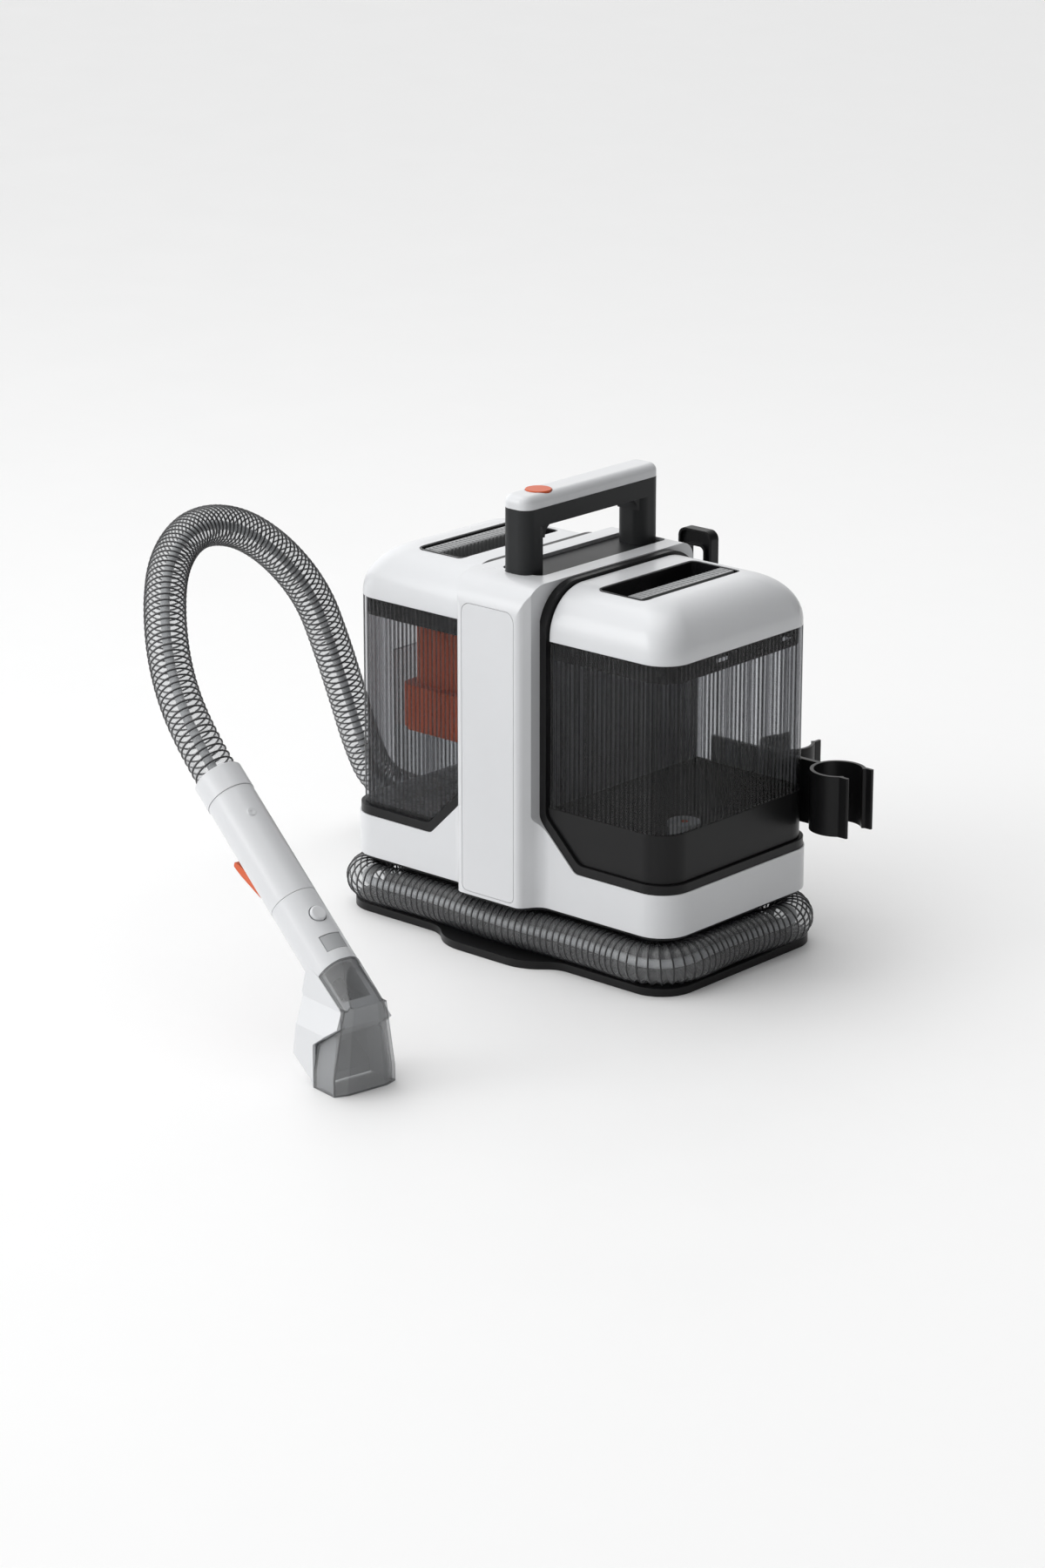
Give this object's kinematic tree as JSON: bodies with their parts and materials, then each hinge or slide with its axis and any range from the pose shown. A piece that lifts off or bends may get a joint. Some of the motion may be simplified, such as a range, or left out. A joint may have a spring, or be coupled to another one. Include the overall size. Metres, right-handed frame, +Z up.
{
  "type": "spot extractor",
  "caption": "Portable carpet and upholstery spot extractor with lift-out tanks, a carry handle and a suction hand tool on a hose that wraps round its base.",
  "frame": {"origin": "on the floor, at the centre of the machine body's footprint", "axes": "+X to the machine's right seen from its front, +Y from the spine's nose to the rear cover, +Z up"},
  "size_m": [0.494, 0.5525, 0.3518],
  "materials": {
    "white_gloss": "gloss, moulded",
    "black_satin": "satin, moulded",
    "black_gloss": "gloss",
    "panel_grey": "fine satin texture",
    "grip_grey": "satin",
    "light_grey": "satin",
    "orange": "gloss",
    "clear_tank": "smoky clear plastic, ribbed",
    "clear_window": "clear plastic",
    "hose": "ribbed flexible plastic",
    "rubber": "matt",
    "steel": "zinc plated",
    "motor_metal": "cast",
    "board": "circuit board",
    "pipe": "natural polypropylene"
  },
  "bodies": {
    "machine": {"base_tray": "black_satin", "rubber_feet": "rubber", "chassis_plate": "black_satin", "chassis_screws": "steel", "main_housing": "white_gloss", "front_panel": "white_gloss", "top_panel": "panel_grey", "rear_cover": "white_gloss", "rear_cover_screws": "steel", "bay_liner_right": "black_satin", "bay_liner_left": "black_satin", "handle_frame": "panel_grey", "handle_cap": "white_gloss", "power_button_spring": "steel", "power_switch": "black_satin", "suction_motor": "motor_metal", "motor_mount": "rubber", "water_pump": "black_satin", "circuit_board": "board", "suction_duct": "pipe", "exhaust_duct": "pipe", "water_line": "pipe", "hose_outlet_cuff": "black_satin", "suction_hose": "hose", "tool_holder": "black_satin", "cord_hook": "black_satin", "cord_inlet": "rubber"},
    "power_button": {"power_button": "orange"},
    "impeller": {"motor_impeller": "motor_metal"},
    "clean_tank": {"clean_tank_foot": "black_satin", "clean_tank_body": "clear_tank", "clean_tank_valve_cage": "pipe", "clean_tank_valve_spring": "steel"},
    "clean_valve": {"clean_tank_valve": "orange"},
    "clean_lid": {"clean_tank_lid": "white_gloss", "clean_tank_lid_base": "black_gloss", "clean_tank_grip_pocket": "black_gloss"},
    "clean_grip": {"clean_tank_grip_bar": "grip_grey"},
    "dirty_tank": {"dirty_tank_body": "clear_tank", "dirty_tank_partition": "clear_window"},
    "dirty_lid": {"dirty_tank_lid": "white_gloss", "dirty_tank_lid_base": "black_gloss", "dirty_tank_grip_pocket": "black_gloss", "separator_tower": "orange", "float_cage": "orange"},
    "dirty_grip": {"dirty_tank_grip_bar": "grip_grey"},
    "float": {"separator_float": "pipe"},
    "hand_tool": {"hand_tool_grip": "white_gloss", "hand_tool_cuff": "white_gloss", "trigger_pin": "steel", "trigger_spring": "steel", "spray_valve": "black_satin", "grip_screw": "white_gloss", "nozzle_body": "white_gloss", "latch_tab": "light_grey", "spray_tip": "black_satin"},
    "trigger": {"hand_tool_trigger": "orange"},
    "window": {"nozzle_window": "clear_window"},
    "release_button": {"release_button": "white_gloss"}
  },
  "joints": [
    {"name": "power_button_press", "type": "slide", "parent": "machine", "child": "power_button", "axis": [0, 0, -1], "range_m": [0, 0.002], "stiffness_N_per_m": 600, "springref_m": -0.001, "deforming": ["power_button_spring"]},
    {"name": "impeller_spin", "type": "hinge", "parent": "machine", "child": "impeller", "pos_m": [0, 0.026, 0.176], "axis": [0, 0, 1], "continuous": true},
    {"name": "clean_tank_lift", "type": "slide", "parent": "machine", "child": "clean_tank", "axis": [0, 0, 1], "range_m": [0, 0.15]},
    {"name": "clean_valve_open", "type": "slide", "parent": "clean_tank", "child": "clean_valve", "axis": [0, 0, 1], "range_m": [0, 0.004], "stiffness_N_per_m": 120, "springref_m": -0.001, "deforming": ["clean_tank_valve_spring"]},
    {"name": "clean_lid_lift", "type": "slide", "parent": "clean_tank", "child": "clean_lid", "axis": [0, 0, 1], "range_m": [0, 0.12]},
    {"name": "clean_grip_squeeze", "type": "slide", "parent": "clean_lid", "child": "clean_grip", "axis": [-1, 0, 0], "range_m": [0, 0.003], "stiffness_N_per_m": 900, "springref_m": -0.001},
    {"name": "dirty_tank_lift", "type": "slide", "parent": "machine", "child": "dirty_tank", "axis": [0, 0, 1], "range_m": [0, 0.15]},
    {"name": "dirty_lid_lift", "type": "slide", "parent": "dirty_tank", "child": "dirty_lid", "axis": [0, 0, 1], "range_m": [0, 0.12]},
    {"name": "dirty_grip_squeeze", "type": "slide", "parent": "dirty_lid", "child": "dirty_grip", "axis": [1, 0, 0], "range_m": [0, 0.003], "stiffness_N_per_m": 900, "springref_m": -0.001},
    {"name": "float_rise", "type": "slide", "parent": "dirty_lid", "child": "float", "axis": [0, 0, 1], "range_m": [0, 0.0115]},
    {"name": "hand_tool_tilt", "type": "hinge", "parent": "machine", "child": "hand_tool", "pos_m": [0.121, -0.363, 0], "axis": [0.1736, 0.9848, 0], "range_deg": [0, 15], "deforming": ["suction_hose"]},
    {"name": "trigger_pull", "type": "hinge", "parent": "hand_tool", "child": "trigger", "pos_m": [0.01613, -0.34451, 0.11206], "axis": [0.1736, 0.9848, 0], "range_deg": [0, 8], "stiffness_Nm_per_rad": 0.6, "springref_deg": -2.86, "deforming": ["trigger_spring"]},
    {"name": "window_slide", "type": "slide", "parent": "hand_tool", "child": "window", "axis": [0.9848, -0.1736, 0], "range_m": [0, 0.03]},
    {"name": "release_button_press", "type": "slide", "parent": "hand_tool", "child": "release_button", "axis": [-0.597, 0.1053, -0.7953], "range_m": [0, 0.0015], "stiffness_N_per_m": 500, "springref_m": -0.001}
  ]
}
